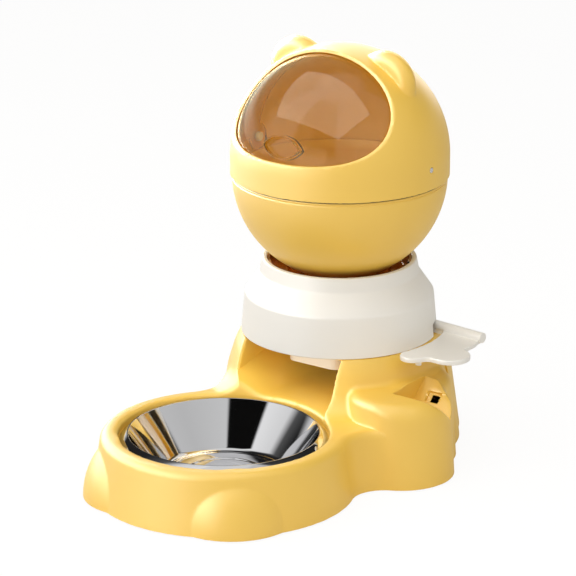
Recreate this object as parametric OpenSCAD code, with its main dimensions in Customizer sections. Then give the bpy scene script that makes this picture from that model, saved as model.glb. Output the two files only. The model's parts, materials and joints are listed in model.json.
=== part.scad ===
// Gravity pet feeder: a ball-shaped hopper with bear ears and a swing-up visor stands in a stepped
// collar on a base that carries a steel bowl. A slide gate with a bone-shaped grip shuts the outlet.
// Front is -Y, the hopper's axis is vertical, and the floor is z = 0.

/* [Hopper] */
// Outer radius of the upper shell
ball_r = 95; // [88:1:98]
// Wall of both hopper shells
shell_t = 2.6; // [2:0.2:3.2]
// How much smaller in radius the lower shell is than the upper one
shell_step = 1.6; // [0.8:0.2:2]
// Height of the straight band between the seam and the dome's centre
band_h = 18; // [16:1:22]
// Radius of the lower shell where it meets the collar's rim
ball_entry_r = 54; // [50:1:55]
// Inner radius of the outlet neck under the lower shell
neck_r = 31; // [26:1:32]
// Length of the outlet neck below the shell
neck_drop = 12; // [9:1:13]

/* [Mouth] */
// Radius of the round cut that opens the dome
mouth_r = 83.5; // [78:0.5:86]
// How far in front of the axis the cut is centred
mouth_y = 99; // [97:1:104]
// How far above the dome's centre the cut is centred
mouth_z = 95; // [92:1:100]

/* [Visor] */
// Gap between the visor and the inside of the dome
visor_gap = 0.9; // [0.6:0.1:1.4]
// Wall of the visor
visor_t = 2.2; // [1.6:0.2:2.6]
// Half length of the almond thumb recess
thumb_half_l = 18; // [14:1:20]
// Half height of the almond thumb recess
thumb_half_h = 9; // [7:0.5:10]
// Depth of the thumb recess
thumb_depth = 7; // [5:0.5:8]
// Radius of the pivot pins
pin_r = 2.4; // [2:0.1:3]

/* [Ears] */
// Radius of each ear
ear_r = 29.5; // [24:0.5:32]
// Thickness of each ear
ear_t = 19; // [14:1:22]
// Tilt of each ear away from upright
ear_lean = 35.5; // [30:0.5:42]
// Distance of the ears behind the dome's centre
ear_back = 14; // [10:1:18]
// How far each ear's middle lies under the dome's surface
ear_sink = 13; // [10:1:16]

/* [Collar] */
// Height of the collar
collar_h = 66.4; // [62:0.4:72]
// Radius of the collar at its top rim
collar_top_r = 67.3; // [66:0.1:70]
// Wall of the collar
collar_t = 3; // [2.4:0.2:3.6]

/* [Gate] */
// Radius of the round throat that the gate shuts
throat_r = 21; // [18:1:22]
// How far the gate pulls out
gate_travel = 44; // [36:1:44]
// Thickness of the gate's blade
blade_t = 2.4; // [2:0.2:3]
// Radius of the rolled back edge of the handle
roll_r = 4.5; // [3.5:0.5:5]
// Thickness of the bone-shaped grip
grip_t = 5; // [4:0.5:6]

/* [Base] */
// Height of the tower that carries the collar
tower_h = 98.1; // [96:0.1:104]
// Radius of the tower at its top, which the collar stands on
tower_top_r = 85.5; // [85:0.1:87.5]
// How far the tower's foot stands out beyond its top
tower_lean = 21.5; // [20:0.5:23]
// Height of the rim around the bowl
rim_z = 53.4; // [50:0.2:56]
// Width of the rim and the shelf around the bowl
rim_w = 23; // [22:0.5:25]
// How far the foot of the front stands out beyond the rim
front_lean = 8.5; // [7:0.5:10]
// Wall of the base mouldings
wall = 2.8; // [2.2:0.2:3.4]
// Half width of the feed cavity in the tower
cavity_half_w = 50; // [46:1:52]
// Depth of the feed cavity behind the hopper's axis
cavity_back = 29; // [29:1:33]
// How far each paw stands out beyond the foot of the front
paw_out = 8; // [6:0.5:9]
// Radius of each paw's ball
paw_r = 54; // [50:1:56]
// Angle between each paw and straight ahead
paw_angle = 43; // [38:1:48]
// Radius of the side pod at the floor
pod_foot_r = 47; // [44:1:48]
// Height of the side pod
pod_h = 62; // [58:1:66]

/* [Bowl] */
// Inner radius of the steel bowl at its rim
bowl_r = 80.5; // [76:0.5:81]
// Depth of the steel bowl
bowl_depth = 38; // [30:1:40]
// Sheet thickness of the steel bowl
bowl_t = 1; // [0.8:0.1:1.4]

/* [Feet and screws] */
// Radius of the rubber feet
foot_r = 8; // [6:0.5:10]
// How far the rubber feet lift the base
foot_h = 2; // [1.5:0.5:3]
// Radius of the screw shanks
screw_r = 1.6; // [1.4:0.1:2]

/* [Hidden] */
$fn = 96;

// Radii and distances that follow the tower's top and the bowl
tower_foot_r = tower_top_r + tower_lean;
collar_foot_r = tower_top_r + 0.3;
front_rim_r = bowl_r + rim_w;
front_foot_r = front_rim_r + front_lean;
paw_reach = front_foot_r + paw_out;
bowl_offset = tower_top_r + bowl_r + 2.5;

// Clearances
seat = 0.3;
slack = 0.4;
run = 0.05;
big = 400;

// Colours
yellow = [0.93, 0.79, 0.42];
white = [0.94, 0.92, 0.88];
amber = [0.80, 0.52, 0.18, 0.6];
clear = [0.86, 0.66, 0.40, 0.4];
steel = [0.72, 0.73, 0.75];
dark = [0.16, 0.16, 0.17];

// Heights of the stack
collar_z = tower_h + seat;
collar_top = collar_z + collar_h;
lower_r = ball_r - shell_step;
lower_z = collar_top + sqrt(pow(lower_r, 2) - pow(ball_entry_r, 2));
seam_h = 0.8;
seam_z = lower_z - 1;
dome_z = seam_z + band_h;

// Levels of the gate: top plate of the tower, spout flange, blade, funnel foot
plate_z = tower_h - 5.5;
plate_t = 3;
flange_z = plate_z + plate_t;
flange_t = 2.8;
blade_z = flange_z + flange_t + slack;
funnel_z = blade_z + blade_t + slack;

// Collar profile
collar_step_r = collar_top_r + 2.3;
collar_step_z = collar_top - 12.2;
collar_knee_r = collar_foot_r - 3.2;
collar_knee_z = collar_top - 31;
collar_bore_r = collar_top_r - 4.1;
ledge_z = collar_top - 20.6;
ledge_t = 2.6;
ring_z = ledge_z + ledge_t + seat + 2.6 + seat;

// Neck, ring and seam of the hopper
neck_top = lower_z - sqrt(pow(lower_r, 2) - pow(neck_r + shell_t, 2));
ring_hole_r = neck_r + shell_t + 3;
saddle_r = 43;
saddle_z = lower_z - sqrt(pow(lower_r, 2) - pow(saddle_r, 2)) - seat;
spigot_r = lower_r - shell_t + 1.1;
ledge_wall_r = collar_step_r - collar_t * 1.2
    + (collar_step_z - ledge_z) / (collar_step_z - collar_knee_z) * (collar_knee_r - collar_step_r);

// Visor: its sphere, the angles of its two edges above straight ahead, and its pivots
visor_r = ball_r - shell_t - visor_gap;
visor_low = 3;
visor_high = 98;
thumb_angle = 15.5;
pivot_disc_r = 12;
cap_x = visor_r - visor_t - 4;
cap_r = 4.2;
cap_h = 3.6;

// Gate: ends and half width of the blade, edges of the neck, rolled edge, and the grip's ends
blade_x0 = -26.4;
blade_x1 = 30;
blade_half_w = 25;
neck_x0 = 10;
neck_x1 = collar_foot_r + 10.2;
neck_y0 = 28;
neck_y1 = 46;
roll_x = collar_foot_r - 19.8;
roll_y = 41.5;
roll_l = 60;
roll_z = blade_z + blade_t + roll_r - 1.2;
handle_gap_r = collar_foot_r + 6.2;
grip_small = [collar_foot_r + 11.2, -33];
grip_small_r = 9.5;
grip_big = [collar_foot_r + 42.2, -18];
grip_big_r = 15;
peg_spot = grip_small + [7, 3];
peg_r = 2.6;

// Spout under the top plate, its flange, and the rails that the blade slides between
spout_half = 27.5;
spout_front = -50;
spout_z = plate_z - 13;
spout_wall = 2.4;
spout_spots = [[-34, -46], [34, -46], [-34, 31]];
flange_x0 = -42;
flange_x1 = 45;
flange_y0 = -56;
flange_y1 = 36;
rail_w = 3;
rail_x0 = blade_x0 - 4;
rail_x1 = blade_x1 + gate_travel;

// Base: rim, well, shelf, pod and its shoulder, waist, pocket and rear cover
rim_round = 6;
lip_w = 14;
well_r = front_rim_r - lip_w;
shelf_z = rim_z - 8;
bowl_top = rim_z - 1;
bowl_floor = bowl_top - bowl_depth;
bowl_floor_r = bowl_r - 27;
pod = [tower_foot_r - 9, -48, 0];
shoulder = [pod.x - 22, -10, 0];
shoulder_r = pod_foot_r + 10;
waist_f = 34;
pod_f = 28;
flare_r = 18;
flare_hub = [tower_top_r + 10.5 + flare_r, rim_z + flare_r];
draft = (front_foot_r - front_rim_r) / rim_z;
bowl_spot = [0, -bowl_offset];
pocket_x = tower_top_r + 5.5;
socket = [pod.x + 9.5, -13.2, 59.8];
cavity_front = tower_foot_r + 23;
deck_y = -78;
cover_y = cavity_back + wall + 1.6;
cover_z = 11;
base_z = 1.2;

// Base plate, feet and screws
floor_z = foot_h;
floor_t = 3;
post_r = 4;
head_r = 3;
head_h = 1.6;
screw_spots = [[-74, 10], [66, 14]];
front_screws = [175, 215, 270, 325, 5];
front_screw_r = front_rim_r - rim_round;
boss_r = tower_top_r - 8.5;
boss_angles = [62, 118, 215, 325];
foot_spots = [
    [-50, -bowl_offset - 69.5], [50, -bowl_offset - 69.5],
    [3.6 - front_foot_r * 0.8, 40.5 - bowl_offset], [front_foot_r * 0.8 - 3.6, 40.5 - bowl_offset],
    [45 - tower_foot_r, tower_foot_r - 45], [tower_foot_r - 45, tower_foot_r - 45]];

// Middle of the whole part, so that the origin is under the middle of its box
span_x = [-front_foot_r, max(pod.x + pod_foot_r, grip_big.x + grip_big_r)];
span_y = [-bowl_offset - front_foot_r, tower_foot_r];
middle = [(span_x[0] + span_x[1]) / 2, (span_y[0] + span_y[1]) / 2, 0];

module placed() translate(-middle) children();
module at_bowl() translate([0, -bowl_offset, 0]) children();
module slab(z0, z1) translate([-big, -big, z0]) cube([2 * big, 2 * big, z1 - z0]);

// Rounded polygon: every corner of the path is turned into an arc of its own radius
function unit(v) = v / norm(v);
function corner(a, b, c, r, n) =
    let (u = unit(a - b), w = unit(c - b), half = acos(u * w) / 2,
         hub = b + unit(u + w) * (r / sin(half)),
         first = b + u * (r / tan(half)) - hub,
         last = b + w * (r / tan(half)) - hub,
         a0 = atan2(first.y, first.x),
         turn = ((atan2(last.y, last.x) - a0 + 540) % 360) - 180)
    [for (i = [0:n]) hub + r * [cos(a0 + turn * i / n), sin(a0 + turn * i / n)]];
function rounded(p, r, n = 5) =
    [for (i = [0:len(p) - 1])
        each r[i] > 0
            ? corner(p[(i + len(p) - 1) % len(p)], p[i], p[(i + 1) % len(p)], r[i], n)
            : [p[i]]];

// Everything above a tilted plane through a point: it rises towards the plan angle named turn
module above(point, turn, slope)
    translate(point) rotate([0, 0, turn]) rotate([0, -slope, 0])
        translate([-big / 2, -big / 2, 0]) cube([big, big, big]);

// Outer masses of the base, or the same masses with their faces pulled in by inset
module front_mass(inset)
    at_bowl() rotate_extrude() polygon(rounded(
        [[0, 0], [front_foot_r - inset, 0], [front_rim_r - inset, rim_z - inset], [0, rim_z - inset]],
        [0, 0, rim_round, 0]));

module tower_mass(inset)
    rotate_extrude() polygon(
        [[0, 0], [tower_foot_r - inset, 0], [tower_foot_r - 4 - inset, 33],
         [tower_top_r + 12.5 - inset, tower_h - 34], [tower_top_r + 6 - inset, tower_h - 12],
         [tower_top_r - inset, tower_h - inset], [0, tower_h - inset]]);

module pod_mass(inset) {
    translate(pod) rotate_extrude() polygon(rounded(
        [[0, 0], [pod_foot_r - inset, 0], [pod_foot_r - 4 - inset, pod_h - inset], [0, pod_h - inset]],
        [0, 0, 9, 0]));
    translate(shoulder) rotate_extrude() polygon(
        [[0, 0], [shoulder_r - inset, 0], [shoulder_r - 14 - inset, pod_h + 6 - inset],
         [12, pod_h + 18 - inset], [0, pod_h + 18 - inset]]);
}

// Centre of the round fillet that touches two circles: side is -1 or 1 along the line between them
function fillet_centre(c1, r1, c2, r2, f, side) =
    let (gap = norm(c2 - c1), u = (c2 - c1) / gap,
         along = (pow(r1 + f, 2) - pow(r2 + f, 2) + pow(gap, 2)) / (2 * gap),
         off = sqrt(pow(r1 + f, 2) - pow(along, 2)))
    c1 + along * u + side * off * [-u.y, u.x];

// Filling between two circles with a hollow fillet that follows the draft of both
module fillet_mass(c1, r1, c2, r2, f, side, h, inset) {
    hub = fillet_centre(c1, r1, c2, r2, f, side);
    difference() {
        linear_extrude(h) polygon([c1, hub, c2]);
        translate([hub.x, hub.y, -1])
            cylinder(r1 = f + inset - draft, r2 = f + inset + draft * (h + 1), h = h + 2);
    }
}

// Waists between the tower, the pod and the front, and the flare from the rim up to the tower
module waist_mass(inset)
    intersection() {
        union() {
            for (side = [-1, 1])
                fillet_mass(bowl_spot, front_foot_r, [0, 0], tower_foot_r, waist_f, side,
                    flare_hub.y, inset);
            fillet_mass(bowl_spot, front_foot_r, [pod.x, pod.y], pod_foot_r, pod_f, -1,
                pod_h - 6, inset);
            at_bowl() cylinder(r = front_rim_r - rim_round - 0.5 - inset, h = flare_hub.y);
        }
        rotate_extrude() union() {
            square([big, rim_z - inset]);
            difference() {
                square([flare_hub.x, flare_hub.y - inset]);
                translate(flare_hub) circle(r = flare_r + inset);
            }
        }
    }

module base_mass(inset) {
    front_mass(inset);
    tower_mass(inset);
    pod_mass(inset);
    waist_mass(inset);
}

module paws(inset)
    for (side = [-1, 1])
        at_bowl() rotate([0, 0, side * paw_angle - 90]) translate([paw_reach - paw_r, 0, 0])
            intersection() {
                sphere(r = paw_r - inset);
                translate([0, -big / 2, 0]) cube([big, big, big]);
            }

// Feed cavity: a deck that runs level with the rim, and a bank that rises to the left
module cavity(grow)
    intersection() {
        linear_extrude(plate_z + grow) polygon(rounded(
            [[-cavity_half_w - grow, -cavity_front], [cavity_half_w + grow, -cavity_front],
             [cavity_half_w + grow, cavity_back + grow], [-cavity_half_w - grow, cavity_back + grow]],
            [0, 0, 16, 16]));
        above([0, deck_y, rim_z + 0.6 - grow], 90, 4);
        above([-26, deck_y, rim_z + 0.6 - grow * 1.25], 163, 38);
    }

// Pocket behind the pod: a slanted face, a steep front wall and a straight left wall
module pocket(grow)
    translate([pocket_x - grow, 0, 0]) rotate([90, 0, 90]) linear_extrude(big) polygon(
        [[-33 - grow, 90], [-32 - grow, 44], [-31, 43 - 1.4 * grow], [14, 86 - 1.4 * grow], [14, 90]]);
module socket_hole()
    translate(socket) rotate([43.7, 0, 0]) {
        translate([-5.9, -5.1, -1.6]) cube([11.8, 10.2, big]);
        translate([-3.2, -4.4, -9]) cube([7.4, 7, big]);
    }

// Opening that the rear cover fills
module rear_window(grow)
    translate([-big / 2, cover_y - grow, cover_z - grow])
        cube([big, big, plate_z - 4 - cover_z + 2 * grow]);

module posts(r, z0)
    for (spot = screw_spots)
        translate([spot.x, spot.y, z0]) cylinder(r = r, h = big);
module front_posts(r, z0)
    for (a = front_screws)
        at_bowl() rotate([0, 0, a]) translate([front_screw_r, 0, z0]) cylinder(r = r, h = big);

module bosses(r, z0, h)
    for (a = boss_angles)
        rotate([0, 0, a]) translate([boss_r, 0, z0]) cylinder(r = r, h = h);

module base_shell() placed() color(yellow)
    difference() {
        union() {
            base_mass(0);
            paws(0);
        }
        difference() {
            union() {
                base_mass(wall);
                paws(wall);
            }
            at_bowl() translate([0, 0, shelf_z - wall]) cylinder(r = well_r + wall, h = big);
            cavity(wall);
            pocket(wall);
            slab(plate_z, flange_z);
            posts(post_r, floor_z + floor_t + seat);
            front_posts(post_r, floor_z + floor_t + seat);
        }
        slab(-big, base_z);
        at_bowl() translate([0, 0, shelf_z]) cylinder(r = well_r, h = big);
        at_bowl() cylinder(r = bowl_r + 2.4, h = big);
        cavity(0);
        translate([0, 0, flange_z]) cylinder(r = tower_top_r - wall, h = big);
        translate([0, 0, plate_z - 1]) linear_extrude(plate_t + 2) polygon(spout_outline(slack));
        pocket(0);
        socket_hole();
        rear_window(0);
        intersection() {
            union() {
                posts(screw_r + run, 0);
                front_posts(screw_r + run, 0);
            }
            slab(0, floor_z + 14);
        }
        bosses(screw_r + 0.2, plate_z - 1, 9);
        for (spot = spout_spots)
            translate([spot.x, spot.y, plate_z - 1]) cylinder(r = screw_r + run, h = 9);
    }

module rear_cover() placed() color(yellow)
    intersection() {
        difference() {
            union() {
                tower_mass(0);
                pod_mass(0);
            }
            tower_mass(wall);
            pod_mass(wall);
        }
        rear_window(-slack);
    }

module base_plate() placed() color(yellow)
    difference() {
        intersection() {
            union() {
                base_mass(wall + slack);
                paws(wall + slack);
            }
            slab(floor_z, floor_z + floor_t);
        }
        posts(screw_r + 0.2, 0);
        front_posts(screw_r + 0.2, 0);
        intersection() {
            union() {
                posts(head_r + slack, 0);
                front_posts(head_r + slack, 0);
            }
            slab(0, floor_z + head_h + 0.5);
        }
    }

// Pan-head screw that points up from its head
module screw(l) {
    cylinder(r = head_r, h = head_h);
    cylinder(r = screw_r, h = head_h + l);
}

module base_screws() placed() color(steel) {
    for (spot = screw_spots)
        translate([spot.x, spot.y, floor_z + 0.3]) screw(9);
    for (a = front_screws)
        at_bowl() rotate([0, 0, a]) translate([front_screw_r, 0, floor_z + 0.3]) screw(9);
}

module foot(spot) placed() color(dark)
    translate([spot.x, spot.y, 0]) rotate_extrude() polygon(rounded(
        [[0, 0], [foot_r, 0], [foot_r, foot_h], [0, foot_h]], [0, 0.7, 0, 0], 3));

// Pressed steel bowl with a rolled rim that slopes down to the shelf
module food_bowl() placed() color(steel)
    at_bowl() rotate_extrude() polygon(concat(
        [[0, bowl_floor + 1.6], [bowl_floor_r - 33.5, bowl_floor + 1.6],
         [bowl_floor_r - 32, bowl_floor], [bowl_floor_r - 20.5, bowl_floor],
         [bowl_floor_r - 19, bowl_floor + 1.2], [bowl_floor_r - 7.5, bowl_floor + 1.2]],
        rounded_side(bowl_floor_r, bowl_floor, bowl_r, bowl_top, 7),
        [[bowl_r + 0.6, bowl_top + 0.4], [bowl_r + 1.6, bowl_top], [well_r - 1.4, shelf_z + 1.4],
         [well_r - 1.4, shelf_z + seat], [well_r - 2.4, shelf_z + seat],
         [bowl_r + 1, bowl_top - 1.6]],
        [[bowl_floor_r + 1.4, bowl_floor - bowl_t + 2], [bowl_floor_r - 2, bowl_floor - bowl_t],
         [0, bowl_floor - bowl_t]]));
function rounded_side(r0, z0, r1, z1, r) =
    concat(corner([0, z0], [r0, z0], [r1, z1], r, 5), [[r1, z1]]);

function spout_outline(grow) = rounded(
    [[-spout_half - grow, spout_front - grow], [spout_half + grow, spout_front - grow],
     [spout_half + grow, spout_half + grow], [-spout_half - grow, spout_half + grow]],
    [9, 9, 9, 9]);

// Spout that hangs in the feed cavity, with the flange and rails that the gate slides in
module outlet_spout() placed() color(white)
    difference() {
        union() {
            translate([0, 0, spout_z]) linear_extrude(flange_z - spout_z + 1) polygon(spout_outline(0));
            intersection() {
                translate([flange_x0, 0, flange_z]) union() {
                    translate([0, flange_y0, 0])
                        cube([flange_x1 - flange_x0, flange_y1 - flange_y0, flange_t]);
                    translate([0, -blade_half_w - 5, 0])
                        cube([rail_x1 + 2 - flange_x0, flange_y1 + blade_half_w + 5, flange_t]);
                }
                cylinder(r = tower_top_r - wall - 2, h = big);
            }
            translate([rail_x0, 0, flange_z + flange_t - 0.1]) {
                rail_h = blade_t + slack + 0.1;
                rail_y = blade_half_w + slack;
                translate([0, -rail_y - rail_w, 0]) cube([rail_x1 - rail_x0, rail_w, rail_h]);
                translate([0, rail_y, 0]) cube([neck_x0 - 2 - rail_x0, rail_w, rail_h]);
                translate([0, -rail_y - 1, 0]) cube([rail_w + 0.6, 2 * rail_y + 2, rail_h]);
            }
        }
        translate([0, 0, spout_z - 1]) linear_extrude(flange_z - spout_z + 1)
            polygon(spout_outline(-spout_wall));
        cylinder(r = throat_r, h = big);
        for (spot = spout_spots)
            translate([spot.x, spot.y, flange_z - 1]) cylinder(r = screw_r + 0.2, h = flange_t + 2);
    }

module spout_screws() placed() color(steel)
    for (spot = spout_spots)
        translate([spot.x, spot.y, flange_z + flange_t + head_h]) rotate([180, 0, 0])
            screw(flange_t + plate_t - 0.4);

// Bone-shaped grip, seen from above
module grip_outline() {
    reach = grip_big - grip_small;
    translate(grip_small) circle(r = grip_small_r);
    translate(grip_big) circle(r = grip_big_r);
    translate(grip_small) rotate(atan2(reach.y, reach.x)) translate([0, -7]) square([norm(reach), 15]);
}

module gate_slide() placed() color(white) {
    translate([0, 0, blade_z]) linear_extrude(blade_t) polygon(
        [[blade_x0, -blade_half_w], [blade_x1, -blade_half_w], [blade_x1, neck_y0],
         [neck_x1, neck_y0], [neck_x1, neck_y1],
         [neck_x0, neck_y1], [neck_x0, blade_half_w], [blade_x0, blade_half_w]]);
    translate([0, 0, blade_z]) linear_extrude(blade_t + 1.2) difference() {
        polygon([[collar_foot_r + 2.2, neck_y1], [collar_foot_r + 38.2, neck_y1],
                 [collar_foot_r + 41.2, 30], [collar_foot_r + 48.2, 0], grip_big, grip_small,
                 [collar_foot_r - 3.8, grip_small.y], [collar_foot_r - 3.8, neck_y0],
                 [collar_foot_r + 2.2, neck_y0]]);
        circle(r = handle_gap_r);
        translate([collar_foot_r + 55.2, 21]) circle(r = 15.5);
    }
    translate([0, 0, blade_z - 0.7]) linear_extrude(grip_t) grip_outline();
    translate([roll_x, roll_y, roll_z]) rotate([0, 90, 0]) cylinder(r = roll_r, h = roll_l);
    translate([peg_spot.x, peg_spot.y, blade_z - 5]) cylinder(r = peg_r, h = 6);
}

module feed_funnel() placed() color(white)
    rotate_extrude() polygon(
        [[neck_r + 5, ring_z - seat], [collar_bore_r - slack, ring_z - seat],
         [collar_bore_r - slack, ring_z - seat - 2.6], [neck_r + 7.6, ring_z - seat - 2.6],
         [throat_r + 3.2, funnel_z], [throat_r + 1, funnel_z]]);

// Stepped collar with an inner ledge, screw bosses and the slot for the gate's neck
module collar() placed() color(white)
    difference() {
        union() {
            rotate_extrude() polygon(rounded(
                [[collar_foot_r - collar_t, collar_z], [collar_foot_r, collar_z],
                 [collar_knee_r, collar_knee_z], [collar_step_r, collar_step_z],
                 [collar_top_r, collar_top], [collar_bore_r, collar_top],
                 [collar_bore_r, ledge_z + ledge_t], [collar_bore_r - 4, ledge_z + ledge_t],
                 [collar_bore_r - 4, ledge_z], [ledge_wall_r, ledge_z],
                 [collar_knee_r - collar_t, collar_knee_z - 1.4]],
                [0, 0.8, 6, 5, 1.6, 1, 0, 0, 0, 0, 0], 4));
            intersection() {
                bosses(5, flange_z + seat, 18);
                translate([0, 0, flange_z])
                    cylinder(r = tower_top_r - wall - seat, h = big);
            }
        }
        bosses(screw_r + run, flange_z, 13);
        translate([collar_bore_r, neck_y0 - 0.6, 0])
            cube([40, neck_y1 - neck_y0 + 1.2, roll_z + roll_r + 0.6]);
    }

module collar_screws() placed() color(steel)
    for (a = boss_angles)
        rotate([0, 0, a]) translate([boss_r, 0, plate_z - head_h - 0.1]) screw(12);

// Amber cup that the ball sits in
module neck_ring() placed() color(amber)
    difference() {
        rotate_extrude() union() {
            translate([ring_hole_r, ring_z]) square([collar_bore_r - 1 - ring_hole_r, 2.2]);
            polygon(
                [[collar_bore_r - 3, ring_z], [collar_bore_r - seat, ring_z],
                 [collar_bore_r - seat, collar_top - 1.2], [collar_bore_r - 2.4, collar_top - 1.2]]);
            translate([saddle_r, ring_z]) square([2.4, saddle_z - ring_z]);
        }
        rotate([0, 0, 20]) translate([collar_bore_r - 8, -3, collar_top - 6]) cube([9, 6, 9]);
    }

module neck_seal() placed() color(dark)
    rotate_extrude() translate([neck_r + shell_t + 0.2, ring_z])
        square([ring_hole_r - neck_r - shell_t - 0.4, 2]);

// Lower half of the ball with its outlet neck and the spigot that centres the dome
module hopper_bowl() placed() color(yellow)
    rotate_extrude() {
        difference() {
            translate([0, lower_z]) circle(r = lower_r, $fn = 180);
            translate([0, lower_z]) circle(r = lower_r - shell_t, $fn = 180);
            translate([-big, -big]) square([big, 2 * big]);
            translate([0, seam_z - seam_h / 2]) square([big, big]);
            square([neck_r, lower_z]);
        }
        translate([neck_r, neck_top - neck_drop]) square([shell_t, neck_drop + 1.5]);
        translate([spigot_r - 2.2, seam_z - 6]) square([2.2, 10.5]);
    }

module seam_seal() placed() color(dark)
    rotate_extrude() translate([spigot_r + 0.1, seam_z - seam_h / 2])
        square([lower_r + 0.4 - spigot_r - 0.1, seam_h]);

module ear_mass(inset)
    for (side = [-1, 1])
        translate([0, ear_back, dome_z]) rotate([0, side * ear_lean, 0])
            translate([0, 0, ball_r - ear_sink]) rotate([90, 0, 0]) rotate_extrude() {
                edge = ear_t / 2 - inset;
                translate([ear_r - ear_t / 2, 0]) intersection() {
                    circle(r = edge);
                    translate([0, -big]) square([big, 2 * big]);
                }
                translate([0, -edge]) square([ear_r - ear_t / 2, 2 * edge]);
            }

module dome_mass(inset)
    rotate_extrude() {
        intersection() {
            translate([0, dome_z]) circle(r = ball_r - inset, $fn = 180);
            translate([0, dome_z]) square([big, big]);
        }
        translate([0, seam_z + seam_h / 2 - (inset > 0 ? 1 : 0)])
            square([ball_r - inset, band_h - seam_h / 2 + (inset > 0 ? 1 : 0)]);
    }

module along_x(r, x0, x1)
    translate([x0, 0, dome_z]) rotate([0, 90, 0]) cylinder(r = r, h = x1 - x0);

module hopper_dome() placed() color(yellow)
    difference() {
        union() {
            dome_mass(0);
            ear_mass(0);
        }
        dome_mass(shell_t);
        ear_mass(shell_t);
        translate([-big / 2, -mouth_y, dome_z + mouth_z]) rotate([0, 90, 0])
            cylinder(r = mouth_r, h = big, $fn = 180);
        along_x(pin_r + run, -big / 2, big / 2);
    }

// Almond outline of the thumb recess
module almond(grow) {
    r = (pow(thumb_half_l, 2) + pow(thumb_half_h, 2)) / (2 * thumb_half_h);
    intersection_for(side = [-1, 1])
        translate([0, side * (r - thumb_half_h)]) circle(r = r + grow);
}

module visor() placed() color(clear)
    translate([0, 0, dome_z]) difference() {
        union() {
            difference() {
                intersection() {
                    difference() {
                        sphere(r = visor_r, $fn = 180);
                        sphere(r = visor_r - visor_t, $fn = 180);
                    }
                    union() {
                        rotate([90, 0, 90]) translate([0, 0, -big / 2]) linear_extrude(big) polygon(
                            [[0, 0], for (a = [visor_low, 50, visor_high]) big / 2 * [-cos(a), sin(a)]]);
                        translate([-big / 2, 0, 0]) rotate([0, 90, 0]) cylinder(r = pivot_disc_r, h = big);
                    }
                }
                rotate([90 - thumb_angle, 0, 0]) translate([0, 0, visor_r - thumb_depth])
                    linear_extrude(thumb_depth + 5) almond(0);
            }
            rotate([90 - thumb_angle, 0, 0]) intersection() {
                sphere(r = visor_r, $fn = 180);
                difference() {
                    translate([0, 0, visor_r - thumb_depth - 1.6]) linear_extrude(thumb_depth + 1.6)
                        almond(1.6);
                    translate([0, 0, visor_r - thumb_depth]) linear_extrude(thumb_depth + 5) almond(0);
                }
            }
        }
        translate([-big / 2, 0, 0]) rotate([0, 90, 0]) cylinder(r = pin_r + run, h = big);
    }

module pivot_pin(side) placed() color(steel)
    translate([0, 0, dome_z]) rotate([0, side * 90, 0]) translate([0, 0, cap_x + 0.8])
        rotate_extrude() polygon(rounded(
            [[0, 0], [pin_r, 0], [pin_r, ball_r - cap_x - 0.5], [0, ball_r - cap_x - 0.5]],
            [0, 0, 0.8, 0], 3));

module pin_cap(side) placed() color(white)
    translate([0, 0, dome_z]) rotate([0, side * 90, 0]) translate([0, 0, cap_x]) difference() {
        rotate_extrude() polygon(rounded(
            [[0, 0], [cap_r, 0], [cap_r, cap_h], [0, cap_h]], [0, 1.2, 0, 0], 3));
        translate([0, 0, 0.75]) cylinder(r = pin_r + run, h = cap_h);
    }

base_shell();
rear_cover();
base_plate();
base_screws();
foot(foot_spots[0]);  // foot_front_left
foot(foot_spots[1]);  // foot_front_right
foot(foot_spots[2]);  // foot_mid_left
foot(foot_spots[3]);  // foot_mid_right
foot(foot_spots[4]);  // foot_rear_left
foot(foot_spots[5]);  // foot_rear_right
food_bowl();
outlet_spout();
spout_screws();
gate_slide();
feed_funnel();
collar();
collar_screws();
neck_ring();
neck_seal();
hopper_bowl();
seam_seal();
hopper_dome();
visor();
pivot_pin(-1);  // pivot_pin_left
pivot_pin(1);  // pivot_pin_right
pin_cap(-1);  // pin_cap_left
pin_cap(1);  // pin_cap_right
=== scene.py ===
"""Looks of a gravity pet feeder: a yellow ball hopper with bear ears and an amber visor, on a white
collar over a base with a steel bowl."""

import json
import math

import bpy
import numpy as np
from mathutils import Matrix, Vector


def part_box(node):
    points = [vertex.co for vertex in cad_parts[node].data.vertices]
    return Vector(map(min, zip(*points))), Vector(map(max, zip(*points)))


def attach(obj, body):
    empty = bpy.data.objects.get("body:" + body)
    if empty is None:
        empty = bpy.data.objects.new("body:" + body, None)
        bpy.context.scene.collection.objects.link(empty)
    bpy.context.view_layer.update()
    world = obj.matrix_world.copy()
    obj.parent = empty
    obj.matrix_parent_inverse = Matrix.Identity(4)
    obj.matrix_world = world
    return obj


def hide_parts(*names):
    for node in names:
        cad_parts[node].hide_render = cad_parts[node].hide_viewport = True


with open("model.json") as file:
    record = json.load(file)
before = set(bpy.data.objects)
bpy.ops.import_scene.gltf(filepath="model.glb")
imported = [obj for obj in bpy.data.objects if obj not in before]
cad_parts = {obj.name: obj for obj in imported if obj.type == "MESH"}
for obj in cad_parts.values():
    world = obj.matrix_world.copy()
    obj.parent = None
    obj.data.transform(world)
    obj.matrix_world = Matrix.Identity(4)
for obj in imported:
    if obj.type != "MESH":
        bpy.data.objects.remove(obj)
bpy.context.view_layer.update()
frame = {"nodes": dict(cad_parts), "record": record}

MM = 0.001
FAR = 1000.0


def middle(node):
    """Centre of a node's box."""
    low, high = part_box(node)
    return (Vector(low) + Vector(high)) / 2


def ring_spot(centre, radius, degrees):
    """Point on a circle, with degrees counted from the first axis towards the second."""
    turn = math.radians(degrees)
    return centre[0] + radius * math.cos(turn), centre[1] + radius * math.sin(turn)


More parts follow.
